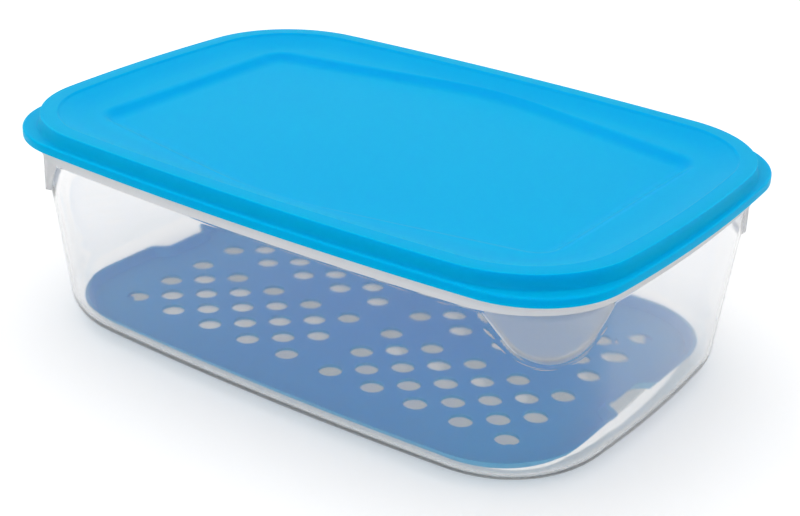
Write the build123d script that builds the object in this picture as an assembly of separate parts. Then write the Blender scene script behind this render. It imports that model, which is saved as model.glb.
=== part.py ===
from build123d import *
from math import cos, pi, radians, sin, tan
import os

# A lidded food container, in millimetres. Origin: centre of the base, on the surface it stands on.
# +X runs along its length, +Y across its width, +Z up.

# The lid seen from above. Every outline of the box and the lid is drawn inset from its edge.
lid_length = 290.0
lid_width = 202.6
lid_corner = 40.7
lid_bow_long = 6.1
lid_bow_short = 6.3

# Walls
box_wall = 1.3
box_floor = 1.9
lid_wall = 1.2

# Box: the rim, the band below it and the wall, which leans in and rounds under to the base
rim_top = 88.0
rim_inset = 5.7
rim_corner = 43.2
lip_thickness = 1.5
flare_radius = 3.2
band_drop = 9.3
band_proud = 1.1
wall_low_inset = 9.5
wall_low_corner = 52.0
bottom_curve = 14.3
base_inset = 24.4
base_corner = 29.0
base_bow_long = 4.3
base_bow_short = 7.7
foot_width = 5.0
foot_height = 0.7

# Box: the tongue that carries the upright rim down each corner
tongue_bearing = 40.0
tongue_drop = 20.0
tongue_tip_radius = 20.0
tongue_slope = 52.0

# Lid: skirt, flange, hollow bead, flat band, sunk panel, and the sealing lip inside the box
skirt_depth = 2.8
skirt_gap = 0.5
flange_thickness = 1.6
edge_radius = 1.5
flange_slope = 0.6
bead_inset = 8.2
bead_corner = 43.4
bead_height = 5.0
bead_foot = 2.0
bead_flare = 0.7
bead_rounding = 1.7
bead_width = 8.0
band_sink = 1.6
band_draft = 0.8
panel_sink = 3.6
panel_slope = 4.4
panel_end_margin = 29.0
panel_side_margin = 31.0
panel_corner = 14.0
panel_bow_long = 12.5
panel_bow_short = 3.0
seal_gap = 0.3
seal_depth = 6.0

# Drain tray: floor, leaning edge, finger notches, and the pegs that it stands on
tray_play = 3.4
tray_corner = 39.0
tray_bow_long = 4.6
tray_wall = 1.4
tray_rise = 3.6
tray_lean = 38.0
notch_width = 33.0
notch_depth = 6.3
notch_lean = 5.0
notch_rounding = 4.0
peg_height = 3.4
peg_radius = 4.0
peg_draft = 0.8
peg_margin = 6.0

# Drain holes: four groups, each with longer and shorter rows in turn
hole_radius = 5.0
hole_pitch_x = 21.4
hole_pitch_y = 21.6
hole_gap_x = 23.3
hole_gap_y = 21.7
hole_margin = 19.0

# Heights that follow from the sizes above
band_bottom = rim_top - band_drop
tongue_tip = band_bottom - tongue_drop
flange_top = rim_top + flange_thickness
bead_top = flange_top + bead_height
tray_underside = box_floor + peg_height
tray_rim = tray_underside + tray_wall + tray_rise

# How finely the rounded bottom, the flare and the small edges are built up
curve_steps = 6
edge_steps = 3


def side(start, middle, end, bow):
    """One side of an outline: an arc through its middle, or straight where it has no bow."""
    if bow > 0:
        return ThreePointArc(start, middle, end)
    return Line(start, end)


def bowed(length, width, corner, bow_long, bow_short, height):
    """Rounded rectangle whose sides swell outwards by a bow, at a height; length and width include the bow."""
    x_mid = length / 2
    y_mid = width / 2
    x_end = x_mid - bow_short
    y_end = y_mid - bow_long
    with BuildSketch(Plane.XY.offset(height)) as sketch:
        with BuildLine():
            side((-x_end, -y_end), (0, -y_mid), (x_end, -y_end), bow_long)
            side((x_end, -y_end), (x_mid, 0), (x_end, y_end), bow_short)
            side((x_end, y_end), (0, y_mid), (-x_end, y_end), bow_long)
            side((-x_end, y_end), (-x_mid, 0), (-x_end, -y_end), bow_short)
        make_face()
        fillet(sketch.vertices(), corner)
    return sketch.sketch.face()


def ring(inset, corner, height, bow_long=lid_bow_long, bow_short=lid_bow_short):
    """Outline whose corners lie inset from the corners of the lid's edge."""
    length = lid_length - 2 * (lid_bow_short - bow_short) - 2 * inset
    width = lid_width - 2 * (lid_bow_long - bow_long) - 2 * inset
    return bowed(length, width, corner, bow_long, bow_short, height)


def stack(rings):
    """Solid through outlines of growing height, straight from each to the next."""
    return loft(rings, ruled=True)


def between(low, high, share):
    """Value at a share of the way from low to high."""
    return low + (high - low) * share


def wall_ring(depth, height):
    """Outline of the leaning wall at a height, depth inside its outer face."""
    share = (height - bottom_curve) / (band_bottom - bottom_curve)
    inset = between(wall_low_inset, rim_inset, share)
    corner = between(wall_low_corner, rim_corner, share)
    return ring(inset + depth, corner - depth, height)


def bowl(depth, floor):
    """Wall and rounded bottom, depth inside the outer face, down to a flat floor."""
    rings = []
    for step in range(curve_steps):
        turn = pi / 2 * step / curve_steps
        share = 1 - sin(turn)
        height = floor + (bottom_curve - floor) * (1 - cos(turn))
        inset = between(wall_low_inset + depth, base_inset, share)
        corner = between(wall_low_corner - depth, base_corner, share)
        bow_long = between(lid_bow_long, base_bow_long, share)
        bow_short = between(lid_bow_short, base_bow_short, share)
        rings.append(ring(inset, corner, height, bow_long, bow_short))
    rings.append(wall_ring(depth, bottom_curve))
    rings.append(wall_ring(depth, band_bottom))
    return stack(rings)


def tongues(depth):
    """Four tongues: the upright rim carried down the corners inside a rounded V, depth inside its face."""
    radius = tongue_tip_radius - depth
    slope = radians(tongue_slope)
    side_x = radius * sin(slope)
    side_y = tongue_tip + tongue_tip_radius - radius * cos(slope)
    top_x = side_x + (rim_top - side_y) / tan(slope)
    corner = rim_corner - depth
    centre_x = lid_length / 2 - lid_bow_short - rim_inset - depth - corner
    centre_y = lid_width / 2 - lid_bow_long - rim_inset - depth - corner
    reach = 2 * corner
    upright = extrude(ring(rim_inset + depth, corner, 0), rim_top)
    forms = []
    out_x = cos(radians(tongue_bearing))
    out_y = sin(radians(tongue_bearing))
    for side_sign in (-1, 1):
        for end_sign in (-1, 1):
            outwards = Vector(end_sign * out_x, side_sign * out_y, 0)
            along = Vector(-side_sign * out_y, end_sign * out_x, 0)
            with BuildSketch(Plane((end_sign * centre_x, side_sign * centre_y, 0), along, outwards)) as sketch:
                with BuildLine():
                    ThreePointArc((-side_x, side_y), (0, tongue_tip + depth), (side_x, side_y))
                    Polyline((side_x, side_y), (top_x, rim_top), (-top_x, rim_top), (-side_x, side_y))
                make_face()
            forms.append(upright & extrude(sketch.sketch.face(), reach, dir=outwards))
    return forms


def rim_form():
    """Band under the lid, the flare that opens from it, and the lip that the skirt of the lid reaches over."""
    band_inset = rim_inset - band_proud
    band_corner = rim_corner + band_proud
    lip_inset = lid_wall + skirt_gap
    lip_corner = lid_corner - lip_inset
    lip_under = rim_top - lip_thickness
    rings = [ring(band_inset, band_corner, band_bottom)]
    for step in range(curve_steps):
        turn = pi / 2 * step / curve_steps
        share = 1 - cos(turn)
        inset = between(band_inset, lip_inset, share)
        corner = between(band_corner, lip_corner, share)
        rings.append(ring(inset, corner, lip_under - flare_radius * (1 - sin(turn))))
    rings.append(ring(lip_inset, lip_corner, lip_under))
    rings.append(ring(lip_inset, lip_corner, rim_top))
    return stack(rings)


def container_body():
    """One moulded piece: bowl, corner tongues, rim and foot ring."""
    outside = bowl(0, 0) + tongues(0) + rim_form()
    inside = bowl(box_wall, box_floor) + tongues(box_wall)
    inside += extrude(wall_ring(box_wall, band_bottom), band_drop)
    recess = ring(base_inset + foot_width, base_corner - foot_width, 0, base_bow_long, base_bow_short)
    return outside - inside - extrude(recess, foot_height)


def lid_hull():
    """Outside of the lid, with no sunk parts: skirt, rounded edge, sloped flange and bead."""
    skirt_bottom = rim_top - skirt_depth
    edge_start = flange_top - flange_slope - edge_radius
    foot_inset = bead_inset - bead_foot
    flare_inset = bead_inset - bead_flare
    rings = [ring(0, lid_corner, skirt_bottom)]
    for step in range(edge_steps + 1):
        turn = pi / 2 * step / edge_steps
        inset = edge_radius * (1 - cos(turn))
        rings.append(ring(inset, lid_corner - inset, edge_start + edge_radius * sin(turn)))
    rings.append(ring(foot_inset, bead_corner, flange_top))
    rings.append(ring(flare_inset, bead_corner, flange_top + bead_flare))
    for step in range(edge_steps + 1):
        turn = pi / 2 * step / edge_steps
        inset = bead_inset + bead_rounding * (1 - cos(turn))
        rings.append(ring(inset, bead_corner, bead_top - bead_rounding * (1 - sin(turn))))
    return stack(rings)


def lid_sinks(grow):
    """Spaces above the flat band and above the panel, grown on all sides by a wall."""
    band_low = bead_top - band_sink - grow
    band_edge = bead_inset + bead_width
    band_corner = bead_corner - bead_width
    band = stack([
        ring(band_edge - grow + band_draft, band_corner + grow, band_low),
        ring(band_edge - grow, band_corner + grow, bead_top),
    ])
    panel_low = bead_top - band_sink - panel_sink - grow
    length = lid_length - 2 * panel_end_margin + 2 * grow
    width = lid_width - 2 * panel_side_margin + 2 * grow
    bows = (panel_bow_long, panel_bow_short)
    panel = stack([
        bowed(length - 2 * panel_slope, width - 2 * panel_slope, panel_corner, *bows, panel_low),
        bowed(length, width, panel_corner, *bows, band_low),
        bowed(length, width, panel_corner, *bows, bead_top),
    ])
    return band + panel


def lid():
    """One moulded piece whose seal lip, flange and skirt close over the rim."""
    skirt_bottom = rim_top - skirt_depth
    seal_inset = rim_inset + box_wall + seal_gap
    seal_corner = rim_corner - box_wall - seal_gap
    hollow_inset = seal_inset + lid_wall
    hollow_corner = seal_corner - lid_wall
    channel = extrude(ring(lid_wall, lid_corner - lid_wall, skirt_bottom), skirt_depth)
    hollow = stack([
        ring(hollow_inset, hollow_corner, rim_top - seal_depth),
        ring(hollow_inset, hollow_corner, rim_top),
        ring(bead_inset + lid_wall, bead_corner - lid_wall, bead_top - lid_wall - bead_rounding),
        ring(bead_inset + lid_wall + bead_rounding / 2, bead_corner - lid_wall, bead_top - lid_wall),
    ])
    seal = extrude(ring(seal_inset, seal_corner, rim_top - seal_depth), seal_depth)
    shell = lid_hull() - channel + seal
    return shell - lid_sinks(0) - (hollow - lid_sinks(lid_wall))


def tray_outline():
    """Rim of the tray: a bowed rectangle with a finger notch in each short side."""
    inset = wall_low_inset + box_wall + tray_play
    outline = Sketch() + ring(inset, tray_corner, 0, tray_bow_long, 0)
    edge = outline.bounding_box().max.X
    mouth = notch_width / 2
    neck = mouth - notch_lean
    for end_sign in (-1, 1):
        near = end_sign * (edge - notch_depth)
        far = end_sign * (edge + notch_depth)
        line = end_sign * edge
        outline -= make_face(Polyline(
            (far, -mouth), (line, -mouth), (near, -neck), (near, neck), (line, mouth), (far, mouth), close=True
        ))
    reach = mouth + notch_rounding
    corners = [point for point in outline.vertices() if abs(point.Y) < reach]
    return fillet(corners, notch_rounding)


def hole_places():
    """Centres of the drain holes: rows on the pitch, and rows between them set back by half a pitch."""
    inset = wall_low_inset + box_wall + tray_play + hole_margin
    half_x = lid_length / 2 - inset
    half_y = lid_width / 2 - inset
    places = []
    for shift in (0, 0.5):
        x = hole_gap_x / 2 + shift * hole_pitch_x
        while x < half_x - shift * hole_pitch_x:
            y = hole_gap_y / 2 + shift * hole_pitch_y
            while y < half_y - shift * hole_pitch_y:
                places += [(x, y), (-x, y), (x, -y), (-x, -y)]
                y += hole_pitch_y
            x += hole_pitch_x
    return places


def peg_places():
    """Centres of the pegs: over the flat floor's four corners, the middles of its long sides, and its centre."""
    corner_x = lid_length / 2 - lid_bow_short - base_inset - base_corner
    corner_y = lid_width / 2 - lid_bow_long - base_inset - base_corner
    along = (base_corner - peg_margin) * sin(pi / 4)
    side_y = corner_y + base_corner - peg_margin
    places = [(0, 0), (0, side_y), (0, -side_y)]
    for end_sign in (-1, 1):
        for side_sign in (-1, 1):
            places.append((end_sign * (corner_x + along), side_sign * (corner_y + along)))
    return places


def drain_tray():
    """Shallow tray with a leaning edge, drain holes and pegs that stand on the floor of the box."""
    rim = tray_outline()
    edge_width = tray_wall / cos(radians(tray_lean))
    mouth = offset(rim, -edge_width)
    down = (0, 0, -1)
    tray = extrude(Pos(0, 0, tray_rim) * rim, tray_rim - tray_underside, dir=down, taper=tray_lean)
    tray -= extrude(Pos(0, 0, tray_rim) * mouth, tray_rise, dir=down, taper=tray_lean)
    hole = Cylinder(hole_radius, 3 * tray_wall)
    tray -= [Pos(x, y, tray_underside + tray_wall / 2) * hole for x, y in hole_places()]
    peg = Cone(peg_radius - peg_draft, peg_radius, peg_height)
    tray += [Pos(x, y, box_floor + peg_height / 2) * peg for x, y in peg_places()]
    return tray


os.makedirs("parts", exist_ok=True)
for name, make in (("container_body", container_body), ("lid", lid), ("drain_tray", drain_tray)):
    export_step(make(), f"parts/{name}.step")
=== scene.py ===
# A lidded food box with a drain tray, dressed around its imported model.
# Sizes are in millimetres until a mesh is made; the lamps and the paper are in metres.
import bpy
import numpy as np
from mathutils import Matrix, Vector


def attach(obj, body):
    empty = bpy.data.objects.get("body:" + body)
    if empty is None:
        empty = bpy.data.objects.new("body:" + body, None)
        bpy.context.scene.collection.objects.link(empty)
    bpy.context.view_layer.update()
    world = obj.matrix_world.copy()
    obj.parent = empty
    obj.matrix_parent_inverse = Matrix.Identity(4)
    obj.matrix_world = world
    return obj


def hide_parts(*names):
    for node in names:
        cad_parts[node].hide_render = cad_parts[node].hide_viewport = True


MM = 0.001

# The lid seen from above; every outline of box and lid is drawn inset from its edge
lid_length = 290.0
lid_width = 202.6
lid_corner = 40.7
lid_bow_long = 6.1
lid_bow_short = 6.3

# Walls
box_wall = 1.3
box_floor = 1.9
lid_wall = 1.2

# Box: rim, band, leaning wall, rounded bottom and foot ring
rim_top = 88.0
rim_inset = 5.2
rim_corner = 43.2
lip_thickness = 1.5
flare_radius = 3.2
band_bottom = 78.7
band_proud = 1.1
band_edge = 0.3
wall_low_inset = 9.0
wall_low_corner = 53.0
bottom_curve = 16.0
base_inset = 24.4
base_corner = 29.0
base_bow_long = 4.3
base_bow_short = 7.7
foot_width = 5.0
foot_height = 0.7
foot_edge = 0.5
sunk_base_edge = 2.0

# Box: the tongue down each corner, a rounded V seen along its bearing
tongue_bearing = 40.0
tongue_tip = 58.7
tongue_tip_radius = 20.0
tongue_slope = 52.0
tongue_ledge = 0.45

# How frosted the clear box is: 0 is clear, 1 is the satin tongue, and more is milky
# Painted highlight: the next value whitens the tongues' steps and the band below its flare into bright lines
painted_highlight_frost = 5.0
milky_band = 2.5

# Lid: skirt, flange, cove, bead, band, level seat and sunk panel, with the sealing lip below
skirt_depth = 2.8
skirt_gap = 0.5
skirt_seam = 1.0
flange_top = 89.0
edge_radius = 1.5
bead_inset = 3.5
bead_corner = 49.0
cove_reach = 1.6
cove_height = 5.1
bead_edge = 0.5
bead_width = 6.7
bead_dip = 0.8
band_fall = 3.0
seat_inset = 20.4
panel_sink = 3.1
panel_slope = 4.4
panel_half_length = 112.9
panel_half_width = 83.1
panel_end_half_width = 60.5
panel_corner = 12.0
panel_crown = 130.0
panel_inner_loops = (30.0, 52.0)
seal_gap = 0.3
seal_depth = 6.0

# Rounded edges, and the small steps by which one profile starts past the one that it joins
lip_round = 0.2
fine_round = 0.3
band_round = 0.35
edge_round = 0.4
root_round = 0.5
seat_round = 0.6
profile_step = 0.1
hairline = 0.02

# The panel's rim and root are rounded by shares of the way to their neighbours, and the root's inner
# neighbour lies a share of the way in to the next loop
rim_reach = (0.22, 0.3)
root_reach = (0.4, 0.5)
root_inside = 0.3

# Sizes that follow from those above: half an outline without its bows, and heights on the lid
half_length = lid_length / 2 - lid_bow_short
half_width = lid_width / 2 - lid_bow_long
bead_top = flange_top + cove_height + bead_edge
seat_height = bead_top - bead_dip - band_fall

# How finely a quarter of an outline is divided: half a short side, a corner, half a long side
side_steps = 16
corner_steps = 48

# How finely the profiles are divided, and how many rows of the band lie below its flare
lean_steps = 12
ledge_steps = 7
upright_steps = 6
bottom_steps = 14
flare_steps = 8
cove_steps = 9
root_steps = 6
painted_highlight_rows = 8

# Patterns: the moulded skins' grain, the slow change of tone, the flow in the clear wall and the depth of
# their relief, and how far light goes into the lid
lid_grain = 2.38
lid_cloud = 111.0
tray_grain = 2.0
tray_cloud = 71.4
wall_flow = 16.7
skin_depth = 0.4
lid_light_depth = 3.0

# The clear wall's transmission and roughness, and what a frost of 1 adds to each
clear_transmission = 0.975
frost_transmission = -0.15
clear_roughness = 0.05
frost_roughness = 0.30

# The photograph's camera: where it stands, how it is turned, and its lens
camera_place = (361.4, -514.7, 324.6)
camera_azimuth = 34.78
camera_elevation = 24.75
camera_roll = 2.23
camera_lens = 71.66
sensor_width = 36.0
camera_shift = (0.00635, 0.00087)

# The studio, in metres and watts: a wide softbox above, a small one in front, even surroundings and white
# paper
above_place = (-0.25, 0.1, 1.3)
above_target = (0, 0, 0.09)
above_size = (1.3, 1.3)
above_power = 4
front_place = (0.5, -1.2, 0.9)
front_target = (0, 0, 0.05)
front_size = (0.8, 0.5)
front_power = 2
world_strength = 0.70
paper_reach = 6.0
paper_lift = 0.34


def between(low, high, share):
    """Value at a share of the way from low to high."""
    return low + (high - low) * share


def rounded(before, point, after, reach_in, reach_out, steps=5):
    """Parabola that rounds a point between its neighbours, from reach_in of the way back to reach_out of the
    way on."""
    start = between(point, before, reach_in)
    end = between(point, after, reach_out)
    turn = np.linspace(0, 1, steps + 1).reshape((-1,) + (1,) * np.ndim(point))
    return (1 - turn) ** 2 * start + 2 * turn * (1 - turn) * point + turn ** 2 * end


def soften(profile, radii):
    """Rounds a profile's inner points, rows of any length, by one radius each. A radius of 0 keeps a point
    sharp, and no rounding passes the middle of its run."""
    profile = np.array(profile, float)
    rows = [profile[:1]]
    for before, point, after, radius in zip(profile[:-2], profile[1:-1], profile[2:], radii):
        if radius == 0:
            rows.append(point[None])
        else:
            reach_in = min(radius / np.linalg.norm(before - point), 0.5)
            reach_out = min(radius / np.linalg.norm(after - point), 0.5)
            rows.append(rounded(before, point, after, reach_in, reach_out))
    return np.vstack(rows + [profile[-1:]])


def quarter_shares():
    """Shares of the way along half a short side, a corner and half a long side, one array for each."""
    side = np.linspace(0, 1, side_steps + 1)[:-1]
    corner = np.linspace(0, 1, corner_steps + 1)[:-1]
    return side, corner, np.linspace(0, 1, side_steps + 1)


def bowed_quarter(inset, corner, bow_long=lid_bow_long, bow_short=lid_bow_short):
    """First quarter of bowed, rounded rectangles, as x and y of rows by columns.
    Each side is an arc through its middle; the corner's arc lies inside both, its centre where circles about
    their centres, smaller by the corner's radius, cross. Arguments broadcast against the columns."""
    columns = np.zeros(2 * side_steps + corner_steps + 1)
    end_x = half_length - inset + columns
    end_y = half_width - inset + columns
    long_radius = (end_x ** 2 + bow_long ** 2) / (2 * bow_long)
    short_radius = (end_y ** 2 + bow_short ** 2) / (2 * bow_short)
    long_centre = end_y + bow_long - long_radius
    short_centre = end_x + bow_short - short_radius
    long_reach = long_radius - corner
    short_reach = short_radius - corner
    apart = np.hypot(long_centre, short_centre)
    along = (long_reach ** 2 - short_reach ** 2 + apart ** 2) / (2 * apart)
    off = np.sqrt(long_reach ** 2 - along ** 2)
    centre_x = (short_centre * along - long_centre * off) / apart
    centre_y = long_centre - (long_centre * along + short_centre * off) / apart
    first = np.arctan2(centre_y, centre_x - short_centre)
    last = np.arctan2(centre_y - long_centre, centre_x)
    corner = corner + columns

    side, turn, top = quarter_shares()
    at_side = slice(0, side_steps)
    at_corner = slice(side_steps, side_steps + corner_steps)
    at_top = slice(side_steps + corner_steps, None)
    angle = np.concatenate([
        first[..., at_side] * side,
        between(first[..., at_corner], last[..., at_corner], turn),
        between(last[..., at_top], np.pi / 2, top)], axis=-1)
    radius = np.concatenate([
        short_radius[..., at_side], corner[..., at_corner], long_radius[..., at_top]], axis=-1)
    x = np.concatenate([
        short_centre[..., at_side], centre_x[..., at_corner], np.zeros_like(last[..., at_top])], axis=-1)
    y = np.concatenate([
        np.zeros_like(first[..., at_side]), centre_y[..., at_corner], long_centre[..., at_top]], axis=-1)
    return x + radius * np.cos(angle), y + radius * np.sin(angle)


def around(x, y, height):
    """Repeats a first quarter in the other three, as closed loops of points: rows by columns by xyz."""
    height = height + np.zeros_like(x)
    x = np.concatenate([x, -x[:, -2::-1], -x[:, 1:], x[:, -2:0:-1]], axis=1)
    y = np.concatenate([y, y[:, -2::-1], -y[:, 1:], -y[:, -2:0:-1]], axis=1)
    height = np.concatenate([height, height[:, -2::-1], height[:, 1:], height[:, -2:0:-1]], axis=1)
    return np.stack([x, y, height], axis=-1)


def rings(profile):
    """Loops of bowed outlines, one for each profile row of inset, corner, height and, if given, two bows."""
    columns = np.array(profile, float).T[:, :, None]
    x, y = bowed_quarter(*columns[:2], *columns[3:])
    return around(x, y, columns[2])


def joined(loops, first_pole, last_pole):
    """Points and faces of a skin of quads through loops of equal length, closed at both ends by a fan of
    triangles about a pole at the given height."""
    rows, count = loops.shape[:2]
    here = np.arange(count)
    there = np.roll(here, -1)
    lower = np.arange(rows - 1)[:, None] * count
    upper = lower + count
    quads = np.stack([lower + here, lower + there, upper + there, upper + here], axis=-1).reshape(-1, 4)
    points = np.vstack([loops.reshape(-1, 3), [[0, 0, first_pole], [0, 0, last_pole]]])
    first = np.full(count, rows * count)
    end = (rows - 1) * count
    first_fan = np.column_stack([first, there, here])
    last_fan = np.column_stack([first + 1, here + end, there + end])
    return points, quads, np.vstack([first_fan, last_fan])


def piece(name, points, quads, triangles, made, body, replaced, marks=None):
    """Mesh object in metres from arrays of points and faces, with its finish, body and replaced node,
    and any named values at its points."""
    mesh = bpy.data.meshes.new(name)
    corners = np.concatenate([quads.ravel(), triangles.ravel()]).astype(np.int32)
    sizes = np.concatenate([np.full(len(quads), 4), np.full(len(triangles), 3)]).astype(np.int32)
    starts = np.concatenate([[0], np.cumsum(sizes)[:-1]]).astype(np.int32)
    mesh.vertices.add(len(points))
    mesh.vertices.foreach_set("co", (points * MM).astype(np.float32).ravel())
    mesh.loops.add(len(corners))
    mesh.loops.foreach_set("vertex_index", corners)
    mesh.polygons.add(len(sizes))
    mesh.polygons.foreach_set("loop_start", starts)
    mesh.polygons.foreach_set("use_smooth", np.ones(len(sizes), bool))
    for mark, values in (marks or {}).items():
        layer = mesh.attributes.new(mark, "FLOAT", "POINT")
        layer.data.foreach_set("value", values.astype(np.float32))
    mesh.update(calc_edges=True)
    mesh.validate()
    mesh.materials.append(made)
    built = bpy.data.objects.new(name, mesh)
    bpy.context.scene.collection.objects.link(built)
    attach(built, body)
    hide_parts(replaced)
    return built


def tongue_edge(depth):
    """Height of the tongue's lower edge at each column of the first quarter, depth inside the outer face.
    Across the bearing it is a circle at the tip and then a straight slope, cut off just under the band."""
    bearing = np.radians(tongue_bearing)
    slope = np.radians(tongue_slope)
    x, y = bowed_quarter(np.array([[rim_inset + depth]]), np.array([[rim_corner - depth]]))
    centre_x = half_length - rim_inset - rim_corner
    centre_y = half_width - rim_inset - rim_corner
    across = np.abs((y - centre_y) * np.cos(bearing) - (x - centre_x) * np.sin(bearing))
    radius = tongue_tip_radius - depth
    reach = radius * np.sin(slope)
    middle = tongue_tip + tongue_tip_radius
    round_part = middle - np.sqrt(np.maximum(radius ** 2 - across ** 2, (radius * np.cos(slope)) ** 2))
    straight_part = np.maximum(across - reach, 0) * np.tan(slope)
    return np.minimum(round_part + straight_part, band_bottom - 2 * tongue_ledge)


def wall_loops(depth):
    """Wall from the rounded bottom up to the band, depth inside its outer face, with how frosted it is,
    painted highlight included.
    The wall leans; above the tongue's edge it stands upright under the rim, and a smooth step joins the two.
    The tongue's frost is 1, and over the step a parabola adds painted highlight, a milky whitening as high
    as the highlight frost at its middle, which shows as a bright line."""
    edge = tongue_edge(depth)
    low = edge - tongue_ledge
    high = edge + tongue_ledge
    lean = np.linspace(0, 1, lean_steps + 1)[:-1, None]
    step = np.linspace(0, 1, ledge_steps + 1)[:, None]
    rise = np.linspace(0, 1, upright_steps + 1)[1:, None]
    height = np.vstack([
        between(bottom_curve, low, lean), between(low, high, step), between(high, band_bottom, rise)])
    step = np.vstack([np.zeros_like(lean), step, np.ones_like(rise)])
    upright = step ** 2 * (3 - 2 * step)
    share = (height - bottom_curve) / (band_bottom - bottom_curve)
    inset = between(between(wall_low_inset, rim_inset, share), rim_inset, upright)
    corner = between(between(wall_low_corner, rim_corner, share), rim_corner, upright)
    x, y = bowed_quarter(inset + depth, corner - depth)
    on_tongue = edge < band_bottom - 4 * tongue_ledge
    # Painted highlight: the parabola whitens the middle of the step into a bright line
    frost_and_highlight = (upright + painted_highlight_frost * 4 * upright * (1 - upright)) * on_tongue
    return around(x, y, height), around(x, y, frost_and_highlight)[..., 2]


def bottom_rows(depth, floor_height):
    """Quarter ellipse from the flat floor's edge out and up to the wall, as profile rows."""
    turn = np.linspace(0, np.pi / 2, bottom_steps + 1)[:-1]
    share = 1 - np.sin(turn)
    return np.stack([
        between(wall_low_inset + depth, base_inset, share),
        between(wall_low_corner - depth, base_corner, share),
        floor_height + (bottom_curve - floor_height) * (1 - np.cos(turn)),
        between(lid_bow_long, base_bow_long, share),
        between(lid_bow_short, base_bow_short, share)], axis=1)


def foot_rows():
    """Profile from the sunk middle of the base, down inside the foot ring and out along its foot."""
    recess = (base_inset + foot_width, base_corner - foot_width)
    bows = (base_bow_long, base_bow_short)
    return soften([
        (recess[0] + sunk_base_edge, recess[1] - sunk_base_edge, foot_height, *bows),
        (*recess, foot_height, *bows),
        (*recess, 0, *bows),
        (base_inset + foot_edge, base_corner - foot_edge, 0, *bows)], (fine_round, fine_round))


def rim_rows():
    """Profile from the wall's top out to the band, up it, out along a quarter ellipse to the lip, over the
    rim and down inside the mouth."""
    band = (rim_inset - band_proud, rim_corner + band_proud)
    lip = (lid_wall + skirt_gap, lid_corner - lid_wall - skirt_gap)
    mouth = (rim_inset + box_wall, rim_corner - box_wall)
    lip_under = rim_top - lip_thickness
    flare = []
    for turn in np.linspace(0, np.pi / 2, flare_steps + 1)[1:-1]:
        share = 1 - np.cos(turn)
        flare.append((between(band[0], lip[0], share), between(band[1], lip[1], share),
                      lip_under - flare_radius * (1 - np.sin(turn))))
    return soften([
        (rim_inset + hairline, rim_corner, band_bottom + hairline),
        (*band, band_bottom + band_edge),
        (*band, lip_under - flare_radius),
        *flare,
        (*lip, lip_under + profile_step),
        (*lip, rim_top),
        (*mouth, rim_top),
        (*mouth, band_bottom + profile_step)],
        (band_round, 0) + (0,) * len(flare) + (lip_round, band_round, root_round))


def container_body(made):
    """Box: foot ring, rounded bottom, wall with tongues, band, flare and lip outside, and the same depths
    inside. The band is milky, and below its flare a far stronger whitening paints its highlight."""
    outer_wall, outer_frost_and_highlight = wall_loops(0)
    inner_wall, inner_frost_and_highlight = wall_loops(box_wall)
    rim = rings(rim_rows())
    rim_frost_and_highlight = np.full((len(rim), 1), milky_band)
    # Painted highlight: the band below its flare is whitened far more than the rest of the milky rim
    rim_frost_and_highlight[:painted_highlight_rows] = painted_highlight_frost
    parts = [
        (rings(foot_rows()), 0),
        (rings(bottom_rows(0, 0)), 0),
        (outer_wall, outer_frost_and_highlight),
        (rim, rim_frost_and_highlight),
        (inner_wall[::-1], inner_frost_and_highlight[::-1]),
        (rings(bottom_rows(box_wall, box_floor)[::-1]), 0)]
    loops = np.vstack([part for part, frost_and_highlight in parts])
    frost_and_highlight = np.vstack([np.broadcast_to(frost_and_highlight, part.shape[:2]) for part, frost_and_highlight in parts])
    points, quads, triangles = joined(loops, foot_height, box_floor)
    frost_and_highlight = np.concatenate([frost_and_highlight.ravel(), [0, 0]])
    piece("food_box", points, quads, triangles, made, "box", "container_body", {"frost_and_highlight": frost_and_highlight})


def bead_row(inset, height):
    """Profile row along the bead, whose corners are rounder than those of the lid's edge."""
    return (inset, bead_corner + bead_inset - inset, height)


def panel_quarter(slack, least_corner=4.0, least_crown=30.0):
    """First quarter of the six-sided panel grown by a slack: a straight end, a rounded corner, and a long
    side that rises to a rounded middle. Each straight moves out by the slack, and each arc keeps its
    centre."""
    slack = np.array(slack, float)[:, None]
    rise = (panel_half_width - panel_end_half_width) / panel_half_length
    lean = np.hypot(1, rise)
    end = panel_half_length + slack
    peak = panel_half_width + slack * lean
    corner = np.maximum(panel_corner + slack, least_corner)
    crown = np.maximum(panel_crown + slack, least_crown)
    centre_x = end - corner
    centre_y = peak - rise * centre_x - corner * lean
    side, turn, top = quarter_shares()
    angle = np.arctan2(1, rise) * turn
    long_x = (centre_x + corner * rise / lean) * (1 - top)
    crown_y = peak - crown * lean + np.sqrt(crown ** 2 - np.minimum(long_x, crown / 2) ** 2)
    long_y = np.where(long_x > crown * rise / lean, peak - rise * long_x, crown_y)
    x = np.hstack([end + 0 * side, centre_x + corner * np.cos(angle), long_x])
    y = np.hstack([centre_y * side, centre_y + corner * np.sin(angle), long_y])
    return x, y


def panel_loops(drop, grow):
    """Loops from the seat over the panel's rounded rim and down its slope to its floor. Drop and grow are 0
    for the upper face, and the wall's thickness for the under face."""
    seat = seat_height - drop
    low = seat - panel_sink
    x, y = panel_quarter([grow, grow - panel_slope] + [grow - loop for loop in panel_inner_loops])
    edge, foot, *middle = around(x, y, np.array([seat, low, low, low])[:, None])
    outside = rings([bead_row(seat_inset - grow, seat)])[0]
    inside = between(foot, middle[0], root_inside)
    rim = rounded(outside, edge, foot, *rim_reach)
    root = rounded(edge, foot, inside, *root_reach, root_steps)
    return np.concatenate([rim, root, middle])


def lid_band(drop, grow):
    """Profile from the bead's top in over its dip and down the sloped band to the level seat."""
    inner = bead_inset + bead_width - grow
    return [bead_row(inner, bead_top - drop), bead_row(inner + bead_dip, bead_top - bead_dip - drop),
            bead_row(seat_inset - grow, seat_height - drop)]


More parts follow.
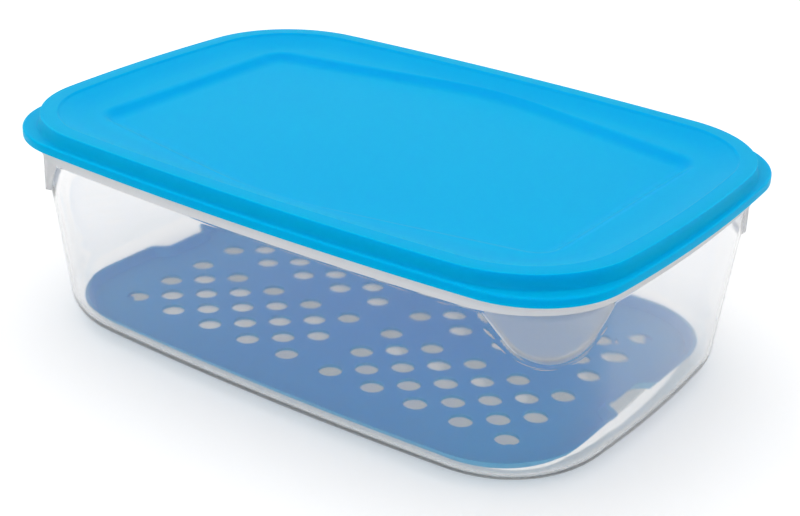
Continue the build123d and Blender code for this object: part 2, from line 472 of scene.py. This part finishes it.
def lid_under_rows():
    """Profile under the lid, from the seat out over the sealing lip, the hollow bead and the skirt, and a
    little way up the skirt's outer face."""
    skirt_bottom = rim_top - skirt_depth
    ceiling = bead_top - lid_wall
    seal_low = rim_top - seal_depth
    seal_outer = (rim_inset + box_wall + seal_gap, rim_corner - box_wall - seal_gap)
    seal_inner = (seal_outer[0] + lid_wall, seal_outer[1] - lid_wall)
    skirt_inner = (lid_wall, lid_corner - lid_wall)
    skirt_outer = (0, lid_corner)
    return soften([
        *lid_band(lid_wall, lid_wall)[::-1],
        (*seal_inner, ceiling),
        (*seal_inner, seal_low),
        (*seal_outer, seal_low),
        (*seal_outer, ceiling),
        bead_row(bead_inset + lid_wall, ceiling),
        bead_row(bead_inset - cove_reach + lid_wall, rim_top),
        (*skirt_inner, rim_top),
        (*skirt_inner, skirt_bottom),
        (*skirt_outer, skirt_bottom),
        (*skirt_outer, rim_top - skirt_seam)],
        (edge_round, fine_round, edge_round, root_round, root_round, edge_round, root_round,
         fine_round, fine_round, edge_round, edge_round))


def lid_over_rows():
    """Profile over the lid, from the skirt up over its edge, in along the flange, up a quarter ellipse of
    cove, over the bead and down the band to the seat."""
    cove = []
    for turn in np.linspace(0, np.pi / 2, cove_steps + 1):
        inset = bead_inset - cove_reach * (1 - np.sin(turn))
        cove.append(bead_row(inset, flange_top + cove_height * (1 - np.cos(turn))))
    return soften([
        (0, lid_corner, rim_top - skirt_seam + profile_step),
        (0, lid_corner, flange_top),
        (edge_radius + profile_step, lid_corner - edge_radius, flange_top),
        *cove,
        bead_row(bead_inset, bead_top),
        *lid_band(0, 0)],
        (edge_radius, lip_round) + (0,) * len(cove) + (root_round, root_round, seat_round))


def lid(made):
    """Lid: under face out from the middle, sealing lip, hollow bead and skirt, then over the edge, up the
    cove, over the bead and in to the middle of the sunk panel."""
    under_panel = panel_loops(lid_wall, lid_wall)[::-1]
    loops = np.vstack([under_panel, rings(lid_under_rows()), rings(lid_over_rows()), panel_loops(0, 0)])
    low = seat_height - panel_sink
    points, quads, triangles = joined(loops, low - lid_wall, low)
    piece("press_on_lid", points, quads, triangles, made, "lid", "lid")


def linear(hex_colour):
    """Linear colour from an sRGB hex value, by the sRGB curve."""
    channels = np.array([int(hex_colour[i:i + 2], 16) for i in (1, 3, 5)]) / 255
    low = channels / 12.92
    high = ((channels + 0.055) / 1.055) ** 2.4
    return tuple(np.where(channels <= 0.04045, low, high)) + (1.0,)


def per_metre(size):
    """How often a size in millimetres goes into a metre, as the scale of a pattern of that size."""
    return 1 / (size * MM)


def add(tree, kind, settings=(), links=()):
    """Adds a node with its settings, socket values by name or number, and links from (node, output) to its
    inputs."""
    node = tree.nodes.new(kind)
    for name, value in dict(settings).items():
        if isinstance(name, str) and hasattr(node, name):
            setattr(node, name, value)
        else:
            node.inputs[name].default_value = value
    for name, (source, output) in dict(links).items():
        tree.links.new(source.outputs[output], node.inputs[name])
    return node


def material(name):
    """New material and its empty node tree."""
    made = bpy.data.materials.new(name)
    made.use_nodes = True
    made.node_tree.nodes.clear()
    return made, made.node_tree


def satin_lid():
    """Low-density polyethylene, injection moulded: saturated and satin, as light goes some way into it, with
    a fine orange-peel grain, drawn coarser than the real one so that it shows."""
    made, tree = material("moulded_ldpe_cyan")
    place = add(tree, "ShaderNodeTexCoord")
    grain = add(tree, "ShaderNodeTexNoise", {"Scale": per_metre(lid_grain), "Detail": 3.0},
                {"Vector": (place, "Object")})
    cloud = add(tree, "ShaderNodeTexNoise", {"Scale": per_metre(lid_cloud), "Detail": 2.0},
                {"Vector": (place, "Object")})
    skin = add(tree, "ShaderNodeBump", {"Strength": 0.06, "Distance": skin_depth * MM},
               {"Height": (grain, "Fac")})
    tone = add(tree, "ShaderNodeValToRGB", {}, {"Fac": (cloud, "Fac")})
    tone.color_ramp.elements[0].color = linear("#00AEF4")
    tone.color_ramp.elements[1].color = linear("#00B5FA")
    shader = add(tree, "ShaderNodeBsdfPrincipled", {
        "Roughness": 0.38, "IOR": 1.3, "Specular IOR Level": 0.06, "Subsurface Weight": 1.0,
        "Subsurface Radius": (0.2, 1.0, 1.0), "Subsurface Scale": lid_light_depth * MM},
                 {"Base Color": (tone, "Color"), "Normal": (skin, "Normal")})
    add(tree, "ShaderNodeOutputMaterial", {}, {"Surface": (shader, "BSDF")})
    return made


def clear_box():
    """Natural polypropylene, injection moulded: a refracting shell with a little milky haze, satin-etched on
    the corner tongues and milky along the thicker rim band. Where its frost mark runs far above 1 it is
    painted highlight, a milky whitening along the tongues' steps and the band below its flare."""
    made, tree = material("moulded_pp_natural")
    place = add(tree, "ShaderNodeTexCoord")
    flow = add(tree, "ShaderNodeTexNoise", {"Scale": per_metre(wall_flow), "Detail": 2.0},
               {"Vector": (place, "Object")})
    skin = add(tree, "ShaderNodeBump", {"Strength": 0.015, "Distance": skin_depth * MM},
               {"Height": (flow, "Fac")})
    # The mark read here is satin frost and milky haze, with painted highlight where it runs far above 1
    frost_and_highlight = add(tree, "ShaderNodeAttribute", {"attribute_name": "frost_and_highlight"})
    clear = add(tree, "ShaderNodeMath",
                {"operation": "MULTIPLY_ADD", 1: frost_transmission, 2: clear_transmission},
                {0: (frost_and_highlight, "Fac")})
    rough = add(tree, "ShaderNodeMath",
                {"operation": "MULTIPLY_ADD", 1: frost_roughness, 2: clear_roughness},
                {0: (frost_and_highlight, "Fac")})
    shader = add(tree, "ShaderNodeBsdfPrincipled", {"Base Color": linear("#FBFBFB"), "IOR": 1.49},
                 {"Transmission Weight": (clear, 0), "Roughness": (rough, 0), "Normal": (skin, "Normal")})
    add(tree, "ShaderNodeOutputMaterial", {}, {"Surface": (shader, "BSDF")})
    return made


def tinted_tray():
    """Blue polypropylene, injection moulded: satin, a little lighter where the flow was slow. Its grain is
    drawn coarser than the real one so that it shows."""
    made, tree = material("moulded_pp_blue")
    place = add(tree, "ShaderNodeTexCoord")
    grain = add(tree, "ShaderNodeTexNoise", {"Scale": per_metre(tray_grain), "Detail": 2.0},
                {"Vector": (place, "Object")})
    cloud = add(tree, "ShaderNodeTexNoise", {"Scale": per_metre(tray_cloud), "Detail": 2.0},
                {"Vector": (place, "Object")})
    skin = add(tree, "ShaderNodeBump", {"Strength": 0.05, "Distance": skin_depth * MM},
               {"Height": (grain, "Fac")})
    tone = add(tree, "ShaderNodeValToRGB", {}, {"Fac": (cloud, "Fac")})
    tone.color_ramp.elements[0].color = linear("#22C0FC")
    tone.color_ramp.elements[1].color = linear("#2AC8FF")
    shader = add(tree, "ShaderNodeBsdfPrincipled",
                 {"Roughness": 0.42, "IOR": 1.49, "Specular IOR Level": 0.1},
                 {"Base Color": (tone, "Color"), "Normal": (skin, "Normal")})
    add(tree, "ShaderNodeOutputMaterial", {}, {"Surface": (shader, "BSDF")})
    return made


def white_stage():
    """Matt white paper, lifted to white wherever the eye, a reflection or clear plastic sees it, under its
    shadows."""
    made, tree = material("matt_white_paper")
    path = add(tree, "ShaderNodeLightPath")
    seen = add(tree, "ShaderNodeMath", {"operation": "MAXIMUM"},
               {0: (path, "Is Camera Ray"), 1: (path, "Is Glossy Ray")})
    seen = add(tree, "ShaderNodeMath", {"operation": "MAXIMUM"},
               {0: (seen, 0), 1: (path, "Is Transmission Ray")})
    paper = add(tree, "ShaderNodeBsdfDiffuse", {"Color": linear("#F2F2F2")})
    lift = add(tree, "ShaderNodeMath", {"operation": "MULTIPLY", 1: paper_lift}, {0: (seen, 0)})
    glow = add(tree, "ShaderNodeEmission", {"Color": (1, 1, 1, 1)}, {"Strength": (lift, 0)})
    both = add(tree, "ShaderNodeAddShader", {}, {0: (paper, 0), 1: (glow, 0)})
    add(tree, "ShaderNodeOutputMaterial", {}, {"Surface": (both, 0)})
    return made


def dress(node, made):
    """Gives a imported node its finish."""
    node.data.materials.clear()
    node.data.materials.append(made)


def set_camera():
    """Camera at the photograph's place, turned by its azimuth and elevation and then its roll."""
    azimuth, elevation, roll = np.radians([camera_azimuth, camera_elevation, camera_roll])
    back = np.array([
        np.sin(azimuth) * np.cos(elevation), -np.cos(azimuth) * np.cos(elevation), np.sin(elevation)])
    level = np.array([np.cos(azimuth), np.sin(azimuth), 0.0])
    up = np.cross(back, level)
    across = level * np.cos(roll) + up * np.sin(roll)
    upward = -level * np.sin(roll) + up * np.cos(roll)
    lens = bpy.data.cameras.new("camera")
    lens.sensor_width = sensor_width
    lens.lens = camera_lens
    lens.shift_x, lens.shift_y = camera_shift
    camera = bpy.data.objects.new("camera", lens)
    turn = Matrix([list(row) for row in np.stack([across, upward, back], axis=1)]).to_4x4()
    camera.matrix_world = Matrix.Translation(Vector(camera_place) * MM) @ turn
    bpy.context.scene.collection.objects.link(camera)
    bpy.context.scene.camera = camera


def softbox(name, place, target, size, power):
    """Softbox: a rectangular lamp at a place that faces a target, in metres and watts."""
    lamp = bpy.data.lights.new(name, "AREA")
    lamp.shape = "RECTANGLE"
    lamp.size, lamp.size_y = size
    lamp.energy = power
    light = bpy.data.objects.new(name, lamp)
    light.location = place
    light.rotation_euler = (Vector(target) - Vector(place)).to_track_quat("-Z", "Y").to_euler()
    bpy.context.scene.collection.objects.link(light)


def set_world(strength):
    """Even white surroundings that light the object at a strength, and are plain white to the camera and
    through clear plastic."""
    world = bpy.data.worlds.new("studio")
    world.use_nodes = True
    tree = world.node_tree
    tree.nodes.clear()
    path = add(tree, "ShaderNodeLightPath")
    seen = add(tree, "ShaderNodeMath", {"operation": "MAXIMUM"},
               {0: (path, "Is Camera Ray"), 1: (path, "Is Transmission Ray")})
    level = add(tree, "ShaderNodeMapRange", {"To Min": strength, "To Max": 1.0}, {"Value": (seen, 0)})
    shade = add(tree, "ShaderNodeBackground", {"Color": (1, 1, 1, 1)}, {"Strength": (level, "Result")})
    add(tree, "ShaderNodeOutputWorld", {}, {"Surface": (shade, 0)})
    bpy.context.scene.world = world


def floor(paper, reach):
    """Flat square of paper under the object, reach metres from its middle to each side."""
    corners = [(-reach, -reach, 0), (reach, -reach, 0), (reach, reach, 0), (-reach, reach, 0)]
    mesh = bpy.data.meshes.new("floor")
    mesh.from_pydata(corners, [], [(0, 1, 2, 3)])
    mesh.materials.append(paper)
    ground = bpy.data.objects.new("floor", mesh)
    bpy.context.scene.collection.objects.link(ground)


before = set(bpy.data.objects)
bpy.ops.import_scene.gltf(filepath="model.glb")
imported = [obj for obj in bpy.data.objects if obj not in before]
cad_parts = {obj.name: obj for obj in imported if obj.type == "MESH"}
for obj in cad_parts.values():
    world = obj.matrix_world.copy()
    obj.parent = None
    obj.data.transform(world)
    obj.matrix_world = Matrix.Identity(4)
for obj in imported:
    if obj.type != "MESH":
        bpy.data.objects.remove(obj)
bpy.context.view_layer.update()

container_body(clear_box())
lid(satin_lid())
dress(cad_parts["drain_tray"], tinted_tray())

floor(white_stage(), paper_reach)
set_world(world_strength)
softbox("softbox_above", above_place, above_target, above_size, above_power)
softbox("softbox_front", front_place, front_target, front_size, front_power)
set_camera()
bpy.context.scene.view_settings.view_transform = "Standard"
